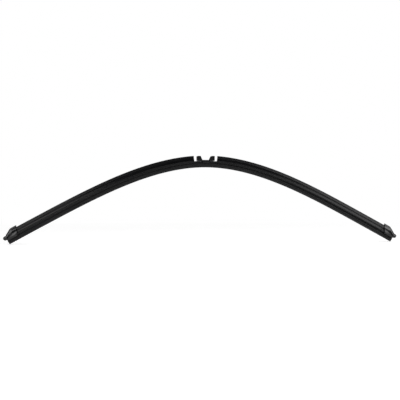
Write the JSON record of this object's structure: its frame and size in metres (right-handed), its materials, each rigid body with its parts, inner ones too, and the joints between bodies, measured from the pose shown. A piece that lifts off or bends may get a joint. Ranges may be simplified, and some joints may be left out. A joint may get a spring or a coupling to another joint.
{
  "type": "frameless windscreen wiper blade",
  "caption": "Arched frameless wiper blade with a rubber lip, spring rails, finned spoiler halves, a notched centre saddle and moulded end caps with rounded nubs.",
  "frame": {"origin": "centre of the arm's seat, on top of the saddle's floor, midway between the ears", "axes": "+X along the blade, towards its right end as pictured; +Y across the blade, away from the pictured side; +Z away from the glass, out of the arm's seat"},
  "size_m": [0.5988, 0.0152, 0.1315],
  "materials": {
    "wiping_rubber": "graphite-dusted black rubber, matt",
    "rail_steel": "spring steel with a thin black coat, satin",
    "spoiler_elastomer": "extruded black elastomer, satin",
    "saddle_steel": "pressed steel with a black stoved coat, satin",
    "cap_plastic": "moulded black plastic, fine satin texture"
  },
  "bodies": {
    "root": {"wiping_rubber": "wiping_rubber", "rail_front": "rail_steel", "rail_rear": "rail_steel", "spoiler_left": "spoiler_elastomer", "spoiler_right": "spoiler_elastomer", "saddle": "saddle_steel", "end_cap_left": "cap_plastic", "end_cap_right": "cap_plastic"}
  },
  "joints": []
}
